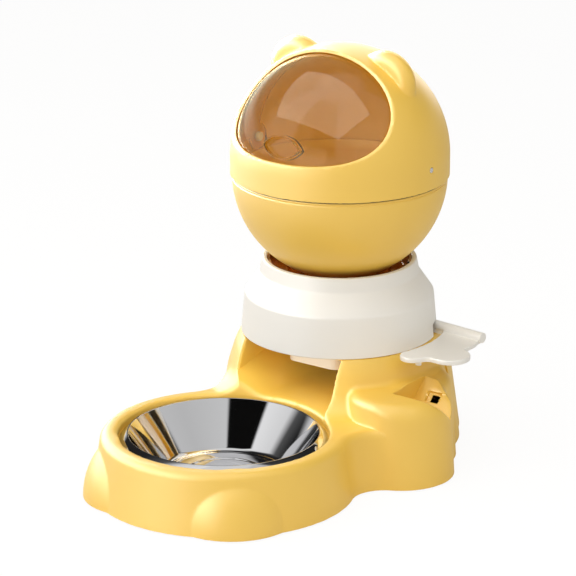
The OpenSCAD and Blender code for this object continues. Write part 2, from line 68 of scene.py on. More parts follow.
# Places that the frame gives, in metres
AXIS = middle("hopper_bowl")
BOWL = middle("food_bowl")
GROUND = Vector((AXIS.x, AXIS.y, 0))
BOWL_GROUND = Vector((BOWL.x, BOWL.y, 0))
DOME_CENTRE = Vector((AXIS.x, AXIS.y, frame["record"]["behaviour"]["joints"][0]["pos_m"][2]))

# Outer form of the base, in millimetres from the hopper's axis and the ground. A body is its centre,
# its radius at the ground and its draft, and a profile is a row of radii and heights
WALL = 2.8
UNDERSIDE = 1.2
BOWL_SPOT = (0, (BOWL.y - AXIS.y) / MM)
RIM_Z, RIM_ROUND = 53.4, 6.0
FRONT_FOOT, FRONT_RIM = 112.0, 103.5
FRONT_BODY = (BOWL_SPOT, FRONT_FOOT, (FRONT_FOOT - FRONT_RIM) / RIM_Z)
TOWER_FOOT, TOWER_TOP, TOWER_H, TOWER_DRAFT = 107.0, 85.5, 98.1, 0.1404
TOWER_BODY = ((0, 0), TOWER_FOOT, TOWER_DRAFT)
TOWER_PROFILE = ((TOWER_FOOT, 0), (97.7, 66), (91.0, 88), (85.7, TOWER_H), (79.0, 110))
TOWER_BLEND = 8
TOWER_FLARE, TOWER_EDGE = 18, 1.0
WAIST_R, POD_WAIST_R, FILLET_REACH = 34, 28, 20
POD_H = 75.0
POD_BODY = ((98.0, -48.0), 47.0, 4.0 / POD_H)
SHOULDER_BODY, SHOULDER_EDGE = ((76.0, -10.0), 46.0, 5.5 / 76), 9
PAW_R, PAW_STRETCH, PAW_BLEND, PAW_RING, PAW_TURN = 54, 1 / 0.88, 0.5, 66, 43
PAWS = [ring_spot(BOWL_SPOT, PAW_RING, side * PAW_TURN - 90) for side in (-1, 1)]

# Roundings that grow along an axis: where they start and end, and how large they are there
POD_EDGE_BY_X = ((100, 125), (7, 16))
POD_BLEND_BY_Z = ((52, 58), (0, 4))
POCKET_EDGE_BY_X = ((112, 126), (0.9, 2.1))

# What is cut into the base
WELL_R, WELL_EDGE, SHELF_Z, HOLE_R, HOLE_EDGE = 89.5, 3.5, 45.4, 82.9, 0.6
PLATE_Z, FLANGE_Z = 92.6, 95.6
CAVITY_HALF, CAVITY_Y, CAVITY_ROUND, CAVITY_EDGE = 50, (-130, 29), 16, 3
CAVITY_OPEN_Y, CAVITY_TOP_EDGE = -58, 1
DECK_SPOT, DECK_Z, DECK_RISE = (-26, -78), RIM_Z + 0.6, math.radians(4)
BANK_TURN, BANK_RISE = math.radians(163), math.radians(38)
POCKET_X, POCKET_FRONT_EDGE, POCKET_BACK_EDGE = 97, 1.5, 1.0
POCKET_BACK_Y, POCKET_BACK_Z, POCKET_BACK_RISE = -25, 60.6, math.atan(0.957)
POCKET_FRONT_Y, POCKET_FRONT_RISE = -59, -math.atan(22.2 / 26)
SOCKET_SPOT, SOCKET_LEAN, SOCKET_EDGE = (113.9, -21.5, 64.0), math.radians(43.7), 0.4
SOCKET_MOUTH, SOCKET_MOUTH_SPOT, SOCKET_MOUTH_ROUND = (6.3, 5.1, 12.6), (0, 0, 10), 0.5
SOCKET_BORE, SOCKET_BORE_SPOT, SOCKET_BORE_ROUND = (3.9, 3.4, 13.0), (1.4, -0.3, 4), 0.4
WINDOW_Y, WINDOW_Z = 33.4, (11, 88.6)

# Cover of the window, floor plate and its screws
COVER_GAP, COVER_OUT, COVER_IN, COVER_EDGE = 0.15, 1.2, 1.6, 0.5
FLOOR_Z, FLOOR_GAP, FLOOR_EDGE = (2, 5), 0.4, 0.4
SCREW_HOLE, SCREW_HEAD, SCREW_HEAD_Z = 1.8, 3.4, 4.1
POST_R, POST_Z = 4, 5.3
SCREW_RING, SCREW_TURNS = 97.5, (175, 215, 270, 325, 5)
SCREWS = [(-74, 10), (66, 14)] + [ring_spot(BOWL_SPOT, SCREW_RING, turn) for turn in SCREW_TURNS]

# Outlet spout with its flange, and the rails that the gate slides in
SPOUT_Z, SPOUT_MID_Y, SPOUT_HALF, SPOUT_ROUND = 75.0, -6.75, (27.5, 34.25), 9
SPOUT_WALL, SPOUT_GAP, THROAT_R = 2.4, 0.4, 21
FLANGE_X, FLANGE_Y, FLANGE_T, FLANGE_R = (-42, 45), (-56, 36), 2.8, TOWER_TOP - WALL - 2
WING_X, WING_Y = (-42, 76), (-30, 36)
RAIL_X, RAIL_Y, RAIL_Z, REAR_RAIL_END = (-30.4, 74), (25.4, 28.4), (98, 101.2), 8
SPOUT_SCREWS = ((-34, -46), (34, -46), (-34, 31))

# Slide gate
BLADE_Z, BLADE_T, BLADE_X, BLADE_HALF, BLADE_EDGE = 98.8, 2.4, (-26.4, 30), 25, 0.25
ARM_X, ARM_Y = (10, 30), (20, 46)
NECK_X, NECK_Y = (10, 95.8), (36.5, 46)
GRIP_SMALL, GRIP_SMALL_R = (100.0, -33.4), 10.6
GRIP_BIG, GRIP_BIG_R = (125.2, -13.8), 17.6
GRIP_WAIST, GRIP_T, GRIP_EDGE, GRIP_X = 13, 4.4, 1.1, (97, 130)
GRIP_BACK = ((128.8, 3.0), (91.8, -12.0))
HANDLE_T, HANDLE_EDGE, HANDLE_X, HANDLE_INNER_R = 3.6, 0.7, (97, 127), 93.2
HANDLE_WAIST, HANDLE_NOTCH, HANDLE_FLARE_Y = 25, 3, -27
HANDLE_CORNERS = ((81.8, 41.0), (123.8, 36.0), (118.0, 29.0), (120.7, 18.0), (125.8, 0.0))
ROLL_END, ROLL_LEAN, ROLL_LENGTH = (127.3, 35), math.radians(6), 60
ROLL_R, ROLL_EDGE, ROLL_RISE = 4.5, 0.6, 5.7
PEG_SPOT, PEG_R, PEG_EDGE, PEG_Z = (104, -30), 2.6, 0.7, (BLADE_Z - 5, BLADE_Z + 1)
SHEET_BLEND, GRIP_BLEND, ROLL_BLEND = 0.3, 0.2, 1.5

# Dome, in millimetres from its centre
BALL_R, SHELL_T = 95.0, 2.6
EAR_R, EAR_T, EAR_LEAN, EAR_BACK, EAR_SINK, EAR_BLEND = 28.2, 18.0, 33.8, 3.5, 13.2, 1.5
MOUTH_R, MOUTH_SPOT, MOUTH_EDGE = 83.5, (-99.0, 95.0), 0.9
PIN_HOLE = 2.5
DOME_FOOT, DOME_FOOT_EDGE = -17.6, 0.8

# Grids that hold the moulded pieces: low corner, high corner and size of a cell
BASE_GRID, BASE_INNER_CELL = ((-120, -290, -5), (152, 114, 102), 2.1), 3.4
DOME_GRID, DOME_INNER_CELL = ((-99, -99, -23), (99, 99, 99), 1.7), 2.6
GATE_GRID = ((-30, -50, 90), (148, 50, 112), 0.9)
FLOOR_GRID = ((-122, -292, 0), (150, 110, 7), 1.5)
SPOUT_GRID = ((-44, -58, 73), (84, 40, 104), 1.1)
COVER_GRID = ((-112, 32, 9), (130, 112, 91), 1.3)

# Meshes: step for a field's slope, pull of a corner to its cell's middle, share of a grid edge that a
# search keeps off its ends, angle of a sharp edge, and what counts as nothing
PROBE = 0.02
CORNER_PULL = 0.04
SEARCH_MARGIN = 0.02
SHARP = math.radians(34)
TINY, ON_AXIS = 1e-12, 1e-6

# Camera: degrees to the right of the front and above the ground, and its place in metres from
# the hopper's foot
CAMERA_TURN, CAMERA_RISE = 36.0, 18.225
CAMERA_SPOT = (1.62221, -2.30899, 1.06376)
CAMERA_LENS = 212.5


# Distance fields: negative inside, in millimetres
def meet(a, b, r=0.0):
    """Where both fields are, with the edge between them rounded."""
    return np.minimum(-r, np.maximum(a, b)) + np.hypot(np.maximum(r + a, 0), np.maximum(r + b, 0))


def join(a, b, r=0.0):
    """Where either field is, with the inner corner between them filled."""
    return -meet(-a, -b, r)


def cut(a, b, r=0.0):
    """The first field without the second, with the new edge rounded."""
    return meet(a, -b, r)


def from_axis(x, y, spot):
    """Distance from an axis, in the plane that it stands on."""
    return np.hypot(x - spot[0], y - spot[1])


def between(value, limits):
    """Slab between two limits of one coordinate."""
    return np.maximum(limits[0] - value, value - limits[1])


def block(x, y, x_limits, y_limits):
    """Upright block between limits."""
    return np.maximum(between(x, x_limits), between(y, y_limits))


def cone(x, y, z, body):
    """Upright round body, given as its centre, its radius at the ground and its draft."""
    centre, radius, draft = body
    return (from_axis(x, y, centre) - radius + draft * z) / math.hypot(1, draft)


def above_slope(z, along, start, rise):
    """Space above a plane that climbs by an angle along a way, from a height at its start."""
    return (start + along * math.tan(rise) - z) * math.cos(rise)


def rounded_box(place, centre, half, r):
    """Box with rounded edges, given as its centre and half its sizes."""
    sides = [np.abs(p - c) - h + r for p, c, h in zip(place, centre, half)]
    outside = np.sqrt(sum(np.maximum(side, 0) ** 2 for side in sides))
    return outside + np.minimum(np.maximum(sides[0], np.maximum(sides[1], sides[2])), 0) - r


def line_side(x, y, one, two):
    """Distance from the line through two points, negative to the left of the way from one to two."""
    dx, dy = two[0] - one[0], two[1] - one[1]
    return ((x - one[0]) * dy - (y - one[1]) * dx) / math.hypot(dx, dy)


# Base
def tower_side(x, y, z):
    """Side of the tower: it draws in towards the collar, in a softened profile."""
    levels = np.arange(-20.0, 130.0, 1.0)
    radii, heights = zip(*TOWER_PROFILE)
    drawn = np.interp(levels, heights, radii)
    drawn[levels < 0] = TOWER_FOOT - TOWER_DRAFT * levels[levels < 0]
    bell = np.hanning(2 * TOWER_BLEND + 1)
    padded = np.pad(drawn, TOWER_BLEND, mode="reflect", reflect_type="odd")
    soft = np.convolve(padded, bell / bell.sum(), "valid")
    lean = np.interp(z, levels, np.gradient(soft, levels))
    return (np.hypot(x, y) - np.interp(z, levels, soft)) / np.sqrt(1 + lean * lean)


def half_turn(angle):
    """The same angle, within half a turn of zero."""
    return (angle + math.pi) % (2 * math.pi) - math.pi


def hollow_corner(x, y, z, one, two, radius, side):
    """Wall of the hollow fillet between two round bodies, on one side of their line of centres."""
    (c1, r1, d1), (c2, r2, d2) = one, two
    gap = math.dist(c1, c2)
    ux, uy = (c2[0] - c1[0]) / gap, (c2[1] - c1[1]) / gap
    along = ((r1 + radius) ** 2 - (r2 + radius) ** 2 + gap ** 2) / (2 * gap)
    off = math.sqrt((r1 + radius) ** 2 - along ** 2) * side
    hub = (c1[0] + along * ux - off * uy, c1[1] + along * uy + off * ux)
    start = math.atan2(c1[1] - hub[1], c1[0] - hub[0])
    total = half_turn(math.atan2(c2[1] - hub[1], c2[0] - hub[0]) - start)
    part = half_turn(np.arctan2(y - hub[1], x - hub[0]) - start) / total
    draft = d1 + (d2 - d1) * np.clip(part, 0, 1)
    wall = radius + draft * z - from_axis(x, y, hub)
    beyond = line_side(x, y, c1, c2) * side
    return np.where((part >= 0) & (part <= 1) & (beyond < FILLET_REACH), wall, FAR)


def base_masses(x, y, z):
    """Outer form of the base before anything is cut from it."""
    tower = tower_side(x, y, z)
    wall = np.minimum(cone(x, y, z, FRONT_BODY), cone(x, y, z, TOWER_BODY))
    for side in (-1, 1):
        wall = np.minimum(wall, hollow_corner(x, y, z, FRONT_BODY, TOWER_BODY, WAIST_R, side))
    wall = np.minimum(wall, hollow_corner(x, y, z, FRONT_BODY, POD_BODY, POD_WAIST_R, -1))
    platform = meet(wall, join(z - RIM_Z, tower, TOWER_FLARE), RIM_ROUND)
    body = meet(np.minimum(platform, tower), z - TOWER_H, TOWER_EDGE)
    blend = np.interp(z, *POD_BLEND_BY_Z)
    pod = meet(cone(x, y, z, POD_BODY), z - POD_H, np.interp(x, *POD_EDGE_BY_X))
    shoulder = meet(cone(x, y, z, SHOULDER_BODY), z - POD_H, SHOULDER_EDGE)
    body = join(join(body, pod, blend), shoulder, 1 + blend)
    for spot in PAWS:
        paw = np.hypot(from_axis(x, y, spot), z / PAW_STRETCH) - PAW_R
        body = join(body, paw, PAW_BLEND)
    return body


def cavity_walls(x, y, z):
    """Feed cavity without its floor, open upwards in front of the tower."""
    sides = meet(np.abs(x) - CAVITY_HALF, between(y, CAVITY_Y), CAVITY_ROUND)
    return meet(sides, np.minimum(z - PLATE_Z, y - CAVITY_OPEN_Y), CAVITY_TOP_EDGE)


def cavity_floor(x, y, z):
    """Space above the cavity's floor: a deck that falls to the bowl, and a steeper bank at its left."""
    east, north = x - DECK_SPOT[0], y - DECK_SPOT[1]
    deck = above_slope(z, north, DECK_Z, DECK_RISE)
    along = east * math.cos(BANK_TURN) + north * math.sin(BANK_TURN)
    return meet(deck, above_slope(z, along, DECK_Z, BANK_RISE), CAVITY_EDGE)


def pocket(x, y, z):
    """Notch in the pod's top, with a slope at its back and one at its front."""
    back = above_slope(z, y - POCKET_BACK_Y, POCKET_BACK_Z, POCKET_BACK_RISE)
    front = above_slope(z, y - POCKET_FRONT_Y, POD_H, POCKET_FRONT_RISE)
    return meet(meet(POCKET_X - x, front, POCKET_FRONT_EDGE), back, POCKET_BACK_EDGE)


def socket(x, y, z):
    """Blind stepped hole, square to the pocket's back slope."""
    u, v, w = x - SOCKET_SPOT[0], y - SOCKET_SPOT[1], z - SOCKET_SPOT[2]
    cosine, sine = math.cos(SOCKET_LEAN), math.sin(SOCKET_LEAN)
    place = (u, v * cosine + w * sine, w * cosine - v * sine)
    mouth = rounded_box(place, SOCKET_MOUTH_SPOT, SOCKET_MOUTH, SOCKET_MOUTH_ROUND)
    bore = rounded_box(place, SOCKET_BORE_SPOT, SOCKET_BORE, SOCKET_BORE_ROUND)
    return np.minimum(mouth, bore)


def spout_outline(x, y, grow=0.0):
    """Rounded outline of the spout, grown by a distance."""
    across, along = np.abs(x) - SPOUT_HALF[0], np.abs(y - SPOUT_MID_Y) - SPOUT_HALF[1]
    return meet(across - grow, along - grow, SPOUT_ROUND)


def base_solid(x, y, z):
    """The base as a full body, with everything that is cut into it from outside."""
    mass = base_masses(x, y, z)
    walls, floor_space = cavity_walls(x, y, z), cavity_floor(x, y, z)
    cavity = meet(walls, floor_space, CAVITY_EDGE)
    beside = np.minimum(cut(mass, walls, CAVITY_EDGE), np.maximum(mass, -floor_space))
    body = np.maximum(np.maximum(mass, -cavity), beside)
    around_bowl = from_axis(x, y, BOWL_SPOT)
    body = cut(body, np.maximum(around_bowl - WELL_R, SHELF_Z - z), WELL_EDGE)
    body = cut(body, around_bowl - HOLE_R, HOLE_EDGE)
    body = cut(body, pocket(x, y, z), np.interp(x, *POCKET_EDGE_BY_X))
    body = cut(body, socket(x, y, z), SOCKET_EDGE)
    body = cut(body, np.maximum(WINDOW_Y - y, between(z, WINDOW_Z)))
    body = cut(body, np.maximum(np.hypot(x, y) - (TOWER_TOP - WALL), FLANGE_Z - z))
    body = cut(body, np.maximum(spout_outline(x, y, SPOUT_GAP), PLATE_Z - 1 - z))
    return np.maximum(body, UNDERSIDE - z)


def base_hollow(x, y, z):
    """The empty space inside the base's walls."""
    hollow = base_masses(x, y, np.maximum(z, 0)) + WALL
    well = np.maximum(from_axis(x, y, BOWL_SPOT) - WELL_R - WALL, SHELF_Z - WALL - z)
    hollow = cut(hollow, well)
    hollow = cut(hollow, meet(cavity_walls(x, y, z), cavity_floor(x, y, z), CAVITY_EDGE) - WALL)
    hollow = cut(hollow, pocket(x, y, z) - WALL)
    for spot in SCREWS:
        hollow = cut(hollow, np.maximum(from_axis(x, y, spot) - POST_R, POST_Z - z))
    return np.maximum(hollow, between(z, (-2, PLATE_Z)))


def cover_field(x, y, z):
    """Curved cover that closes the window at the rear, a little proud of the base."""
    mass = base_masses(x, y, z)
    sheet = np.maximum(mass - COVER_OUT, -(mass + COVER_IN))
    height = between(z, (WINDOW_Z[0] + COVER_GAP, WINDOW_Z[1] - COVER_GAP))
    return meet(sheet, np.maximum(WINDOW_Y + COVER_GAP - y, height), COVER_EDGE)


def floor_plate_field(x, y, z):
    """Plate that closes the base from below, with the holes and seats of its screws."""
    level = np.full(np.shape(z), sum(FLOOR_Z) / 2)
    body = meet(base_masses(x, y, level) + WALL + FLOOR_GAP, between(z, FLOOR_Z), FLOOR_EDGE)
    for spot in SCREWS:
        around = from_axis(x, y, spot)
        seat = np.maximum(around - SCREW_HEAD, z - SCREW_HEAD_Z)
        body = np.maximum(body, np.maximum(SCREW_HOLE - around, -seat))
    return body


# Spout and gate
def spout_field(x, y, z):
    """Spout that hangs in the feed cavity, its flange and the rails that the gate slides in."""
    tube = np.maximum(spout_outline(x, y), between(z, (SPOUT_Z, FLANGE_Z + 1)))
    plate = np.minimum(block(x, y, FLANGE_X, FLANGE_Y), block(x, y, WING_X, WING_Y))
    plate = np.maximum(plate, np.hypot(x, y) - FLANGE_R)
    plate = np.maximum(plate, between(z, (FLANGE_Z, FLANGE_Z + FLANGE_T)))
    for spot in SPOUT_SCREWS:
        plate = np.maximum(plate, SCREW_HOLE - from_axis(x, y, spot))
    rail = np.maximum(block(x, np.abs(y), RAIL_X, RAIL_Y), between(z, RAIL_Z))
    rail = np.maximum(rail, np.where(y > 0, x - REAR_RAIL_END, -FAR))
    body = np.minimum(np.minimum(tube, plate), rail)
    inside = np.maximum(spout_outline(x, y) + SPOUT_WALL, z - FLANGE_Z)
    return np.maximum(np.maximum(body, -inside), THROAT_R - np.hypot(x, y))


def layer(outline, z, thickness, edge):
    """Flat piece that lies on the blade's level, with its edges rounded."""
    return meet(outline, between(z, (BLADE_Z, BLADE_Z + thickness)), edge)


def gate_sheet(x, y, z):
    """Blade with the arm and the neck that lead out to the handle."""
    blade = np.maximum(between(x, BLADE_X), np.abs(y) - BLADE_HALF)
    lead = np.minimum(block(x, y, ARM_X, ARM_Y), block(x, y, NECK_X, NECK_Y))
    return layer(np.minimum(blade, lead), z, BLADE_T, BLADE_EDGE)


def gate_grip(x, y, z):
    """Grip in the shape of a bone's end, with two round lobes."""
    small, big = from_axis(x, y, GRIP_SMALL) - GRIP_SMALL_R, from_axis(x, y, GRIP_BIG) - GRIP_BIG_R
    behind = np.maximum(line_side(x, y, GRIP_SMALL, GRIP_BIG), line_side(x, y, *GRIP_BACK))
    bone = np.minimum(join(small, big, GRIP_WAIST), np.maximum(behind, between(x, GRIP_X)))
    return layer(bone, z, GRIP_T, GRIP_EDGE)


def gate_handle(x, y, z):
    """Plate of the handle: straight at its back, notched at its right and round along the collar."""
    rear_left, rear_right, notch, waist, front = HANDLE_CORNERS
    plate = np.maximum(line_side(x, y, rear_right, rear_left), line_side(x, y, GRIP_SMALL, GRIP_BIG))
    right = join(line_side(x, y, waist, notch), line_side(x, y, front, waist), HANDLE_WAIST)
    right = join(right, line_side(x, y, notch, rear_right), HANDLE_NOTCH)
    plate = np.maximum(np.maximum(plate, right), HANDLE_INNER_R - np.hypot(x, y))
    left = (HANDLE_X[0] - x) / 2 - np.maximum(y - HANDLE_FLARE_Y, 0)
    return layer(np.maximum(plate, np.maximum(x - HANDLE_X[1], left)), z, HANDLE_T, HANDLE_EDGE)


def gate_roll(x, y, z):
    """Rolled rear edge of the handle."""
    east, north = x - ROLL_END[0], y - ROLL_END[1]
    along = east * math.cos(ROLL_LEAN) - north * math.sin(ROLL_LEAN)
    across = east * math.sin(ROLL_LEAN) + north * math.cos(ROLL_LEAN)
    side = np.hypot(across, z - (BLADE_Z + ROLL_RISE)) - ROLL_R
    return meet(side, between(along, (-ROLL_LENGTH, 0)), ROLL_EDGE)


def gate_field(x, y, z):
    """The slide gate, with a small peg under its grip."""
    sheet, handle = gate_sheet(x, y, z), gate_handle(x, y, z)
    grip, roll = gate_grip(x, y, z), gate_roll(x, y, z)
    peg = meet(from_axis(x, y, PEG_SPOT) - PEG_R, between(z, PEG_Z), PEG_EDGE)
    body = np.minimum(join(sheet, handle, SHEET_BLEND), join(grip, roll, GRIP_BLEND))
    return np.minimum(body, np.minimum(join(handle, roll, ROLL_BLEND), peg))


# Dome
def ball(x, y, z, depth):
    """The round of the dome and both ears, drawn in by a depth."""
    out = np.sqrt(x * x + y * y + np.maximum(z, 0) ** 2) - BALL_R + depth
    for side in (-1, 1):
        lean = math.radians(side * EAR_LEAN)
        u = x * math.cos(lean) - z * math.sin(lean)
        w = z * math.cos(lean) + x * math.sin(lean) - (BALL_R - EAR_SINK)
        disc = np.maximum(np.hypot(u, w) - EAR_R + EAR_T / 2, 0)
        out = join(out, np.hypot(disc, y - EAR_BACK) - EAR_T / 2 + depth, EAR_BLEND)
    return out


def dome_solid(x, y, z):
    """The dome as a full body, opened by the round mouth and drilled for the pins."""
    mouth = from_axis(y, z, MOUTH_SPOT) - MOUTH_R
    solid = cut(cut(ball(x, y, z, 0), mouth, MOUTH_EDGE), np.hypot(y, z) - PIN_HOLE)
    return meet(solid, DOME_FOOT - z, DOME_FOOT_EDGE)


def dome_hollow(x, y, z):
    """The empty space inside the dome, which runs out at its foot."""
    return np.maximum(ball(x, y, z, SHELL_T), DOME_FOOT - 3 - z)


# Meshes
def show(mesh):
    """Object in the scene for a mesh."""
    piece = bpy.data.objects.new(mesh.name, mesh)
    bpy.context.scene.collection.objects.link(piece)
    return piece


def soften(mesh):
    """Smooth shading, but for the mesh's sharp edges."""
    mesh.shade_smooth()
    mesh.set_sharp_from_angle(angle=SHARP)


def new_piece(name, points, faces):
    """Object from points in metres and the faces between them."""
    mesh = bpy.data.meshes.new(name)
    mesh.from_pydata(points, [], faces)
    mesh.validate()
    soften(mesh)
    return show(mesh)


def zero_points(field, start, axis, cell, one, two):
    """Where the field is zero on grid edges that start at points and have known values at both ends."""
    near, far = np.zeros(len(start)), np.ones(len(start))
    share = one / (one - two)
    step = np.eye(3)[axis] * cell
    for _ in range(4):
        here = field(*(start + share[:, None] * step).T)
        same = (here < 0) == (one < 0)
        near, one = np.where(same, share, near), np.where(same, here, one)
        far, two = np.where(same, far, share), np.where(same, two, here)
        guess = np.clip(one / (one - two + TINY), SEARCH_MARGIN, 1 - SEARCH_MARGIN)
        share = near + (far - near) * guess
    return start + share[:, None] * step


def slopes(field, points):
    """Directions in which the field grows fastest, of length one."""
    grown = [field(*(points + shift).T) - field(*(points - shift).T) for shift in PROBE * np.eye(3)]
    normals = np.stack(grown, 1)
    return normals / (np.linalg.norm(normals, axis=1, keepdims=True) + TINY)


def crossings(field, value, low, cell, axis):
    """For grid edges along an axis that cross the surface: their four cells, points and slopes."""
    count = value.shape[axis]
    before, after = value.take(range(count - 1), axis), value.take(range(1, count), axis)
    index = np.argwhere((before < 0) != (after < 0))
    at = tuple(index.T)
    points = zero_points(field, low + index * cell, axis, cell, before[at], after[at])
    u, v = np.eye(3, dtype=int)[(axis + 1) % 3], np.eye(3, dtype=int)[(axis + 2) % 3]
    ring = np.stack([index, index - u, index - u - v, index - v], 1)
    flip = before[at] >= 0
    ring[flip] = ring[flip][:, ::-1]
    owners = np.ravel_multi_index(tuple(np.moveaxis(ring, -1, 0)), np.array(value.shape) - 1)
    return owners, points, slopes(field, points)


def corner_points(points, normals, owner, count):
    """For each cell the point nearest to the planes of its crossings, so that edges stay sharp."""
    def total(values):
        return np.bincount(owner, values, count)

    members = total(np.ones(len(owner)))
    mean = np.stack([total(points[:, i]) for i in range(3)], 1) / members[:, None]
    away = np.einsum("ij,ij->i", normals, points - mean[owner])
    matrix = np.empty((count, 3, 3))
    for i in range(3):
        for j in range(3):
            matrix[:, i, j] = total(normals[:, i] * normals[:, j])
    matrix += CORNER_PULL * np.eye(3)
    pull = np.stack([total(normals[:, i] * away) for i in range(3)], 1)
    return mean + np.linalg.solve(matrix, pull[:, :, None])[:, :, 0]


def skin(name, field, grid, origin):
    """Mesh of a field's zero level with its sharp edges kept, from a grid of cells in millimetres."""
    low, high, cell = np.array(grid[0], float), np.array(grid[1], float), grid[2]
    counts = np.ceil((high - low) / cell).astype(int) + 1
    lines = [low[i] + cell * np.arange(counts[i]) for i in range(3)]
    value = field(*np.meshgrid(*lines, indexing="ij"))
    found = zip(*(crossings(field, value, low, cell, axis) for axis in range(3)))
    owners, points, normals = (np.concatenate(part) for part in found)
    used, owner = np.unique(owners, return_inverse=True)
    owner = owner.reshape(-1)
    spots = corner_points(np.repeat(points, 4, 0), np.repeat(normals, 4, 0), owner, len(used))
    corner = low + np.stack(np.unravel_index(used, counts - 1), 1) * cell
    spots = np.clip(spots, corner, corner + cell)
    return new_piece(name, (spots * MM + np.array(origin)).tolist(), owner.reshape(-1, 4).tolist())


def shell(name, solid, hollow, grid, inner_cell, origin):
    """Thin-walled moulding: a full body with the empty space inside its walls taken away."""
    piece = skin(name, solid, grid, origin)
    inside = skin(name + "_inside", hollow, (*grid[:2], inner_cell), origin)
    walls = piece.modifiers.new("walls", "BOOLEAN")
    walls.operation, walls.solver, walls.object = "DIFFERENCE", "MANIFOLD", inside
    made = bpy.data.meshes.new_from_object(piece.evaluated_get(bpy.context.evaluated_depsgraph_get()))
    piece.modifiers.clear()
    piece.data = made
    bpy.data.objects.remove(inside)
    soften(made)
    return piece


def lathe(name, profile, origin, segments=192):
    """Closed profile of radius and height in millimetres, turned round the vertical axis."""
    turns = [2 * math.pi * i / segments for i in range(segments)]
    points, faces, first = [], [], []
    for r, z in profile:
        first.append(len(points))
        ring = turns[:1] if r < ON_AXIS else turns
        points += [(r * math.cos(t), r * math.sin(t), z) for t in ring]
    for i, here in enumerate(first):
        after = first[(i + 1) % len(first)]
        single = (profile[i][0] < ON_AXIS, profile[(i + 1) % len(first)][0] < ON_AXIS)
        for k in range(segments):
            n = (k + 1) % segments
            if single == (False, False):
                faces.append((here + k, here + n, after + n, after + k))
            elif single == (True, False):
                faces.append((here, after + n, after + k))
            elif single == (False, True):
                faces.append((here + k, here + n, after))
    return new_piece(name, [Vector(p) * MM + origin for p in points], faces)


def arc(centre, radius, start, end, steps):
    """Points of an arc in a profile, angles in degrees."""
    return [ring_spot(centre, radius, start + (end - start) * i / steps) for i in range(steps + 1)]


def turn_corner(a, b, c, radius, steps=8):
    """Points of the arc that rounds the corner b of a profile."""
    a, b, c = Vector(a), Vector(b), Vector(c)
    u, w = (a - b).normalized(), (c - b).normalized()
    half = math.acos(max(-1, min(1, u.dot(w)))) / 2
    hub = b + (u + w).normalized() * (radius / math.sin(half))
    one, two = b + u * radius / math.tan(half) - hub, b + w * radius / math.tan(half) - hub
    start = math.atan2(one.y, one.x)
    total = half_turn(math.atan2(two.y, two.x) - start)
    return arc(hub, radius, math.degrees(start), math.degrees(start + total), steps)


def step_up(r, z, rise, half=0.9, count=5):
    """Points of a small soft step in a profile at a radius, from one level up by a rise."""
    shares = [i / count for i in range(count + 1)]
    return [(r - half + 2 * half * t, z + rise * (0.5 - 0.5 * math.cos(math.pi * t))) for t in shares]


def steel_bowl():
    """Pressed bowl: ringed floor, smooth wall, rolled rim and a flange that slopes down to its seat."""
    top, bottom, rim, foot = 52.4, 14.4, 80.5, 53.5
    flange_r, flange_top, seat = 88.1, 46.8, 45.75
    disc_r, disc, ring_in, ring_out, ring = 20.8, 1.6, 33.8, 46.5, 1.2
    inside = [(0, bottom + disc)] + step_up(disc_r, bottom + disc, -disc)
    inside += step_up(ring_in, bottom, ring) + step_up(ring_out, bottom + ring, -ring, 1.5)
    inside += turn_corner((0, bottom), (foot, bottom), (rim, top), 7, 12)
    edge = arc((rim + 0.75, top - 0.42), 0.78, 165, 52, 8)
    flange = turn_corner(edge[-1], (flange_r, flange_top), (flange_r, seat), 0.5, 4)
    flange += [(flange_r, seat), (flange_r - 1, seat)]
    under = [(rim + 1.3, top - 1.5), (rim + 0.75, top - 2.6)]
    outer = turn_corner((rim + 0.9, top), (foot + 1.3, bottom - 1), (0, bottom - 1), 8, 10)
    outer += [(0, bottom - 1)]
    return lathe("steel_bowl", inside + edge + flange + under + outer, BOWL_GROUND)


def lower_ball():
    """Lower half of the ball: its outlet neck, a bead under the seam and a spigot into the dome."""
    out, inn, centre_z, seam = 93.4, 90.8, -17.0, -18.0
    neck_out, neck_in, neck_h = 33.6, 31, 12
    spigot_out, spigot_in, spigot_h, spigot_root = 91.9, 89.7, 4.5, 6
    foot = centre_z - math.sqrt(out ** 2 - neck_out ** 2) - neck_h
    down = -math.degrees(math.acos(neck_out / out))
    up = math.degrees(math.asin((seam - 3.4 - centre_z) / out))
    profile = [(neck_in, foot), (neck_out, foot)] + arc((0, centre_z), out, down, up, 90)
    profile += [(out - 0.28, seam - 3.1), (out - 0.55, seam - 2.85), (out - 0.45, seam - 2.5)]
    profile += arc((out - 1.0, seam - 1.5), 1.0, -25, 90, 8) + [(spigot_out, seam - 0.42)]
    profile += [(spigot_out, seam + spigot_h - 0.3), (spigot_out - 0.3, seam + spigot_h)]
    profile += [(spigot_in + 0.2, seam + spigot_h), (spigot_in, seam + spigot_h - 0.3)]
    profile += [(spigot_in, seam - spigot_root)]
    inner_up = math.degrees(math.asin((seam - spigot_root - centre_z) / inn))
    profile += arc((0, centre_z), inn, inner_up, -math.degrees(math.acos(neck_in / inn)), 60)
    return lathe("lower_ball", profile, DOME_CENTRE)


# Materials
def material(name):
    """New material with its node tree and its shader."""
    made = bpy.data.materials.new(name)
    made.use_nodes = True
    return made, made.node_tree, made.node_tree.nodes["Principled BSDF"]


def node(tree, kind, **values):
    """New shader node, with values for its inputs or its settings."""
    made = tree.nodes.new(kind)
    for key, value in values.items():
        if key in made.inputs:
            made.inputs[key].default_value = value
        else:
            setattr(made, key, value)
    return made


def map_range(tree, start, end, low=0.0, high=1.0, **values):
    """Node that maps a range of values to another."""
    made = node(tree, "ShaderNodeMapRange", **values)
    made.inputs["From Min"].default_value, made.inputs["From Max"].default_value = start, end
    made.inputs["To Min"].default_value, made.inputs["To Max"].default_value = low, high
    return made


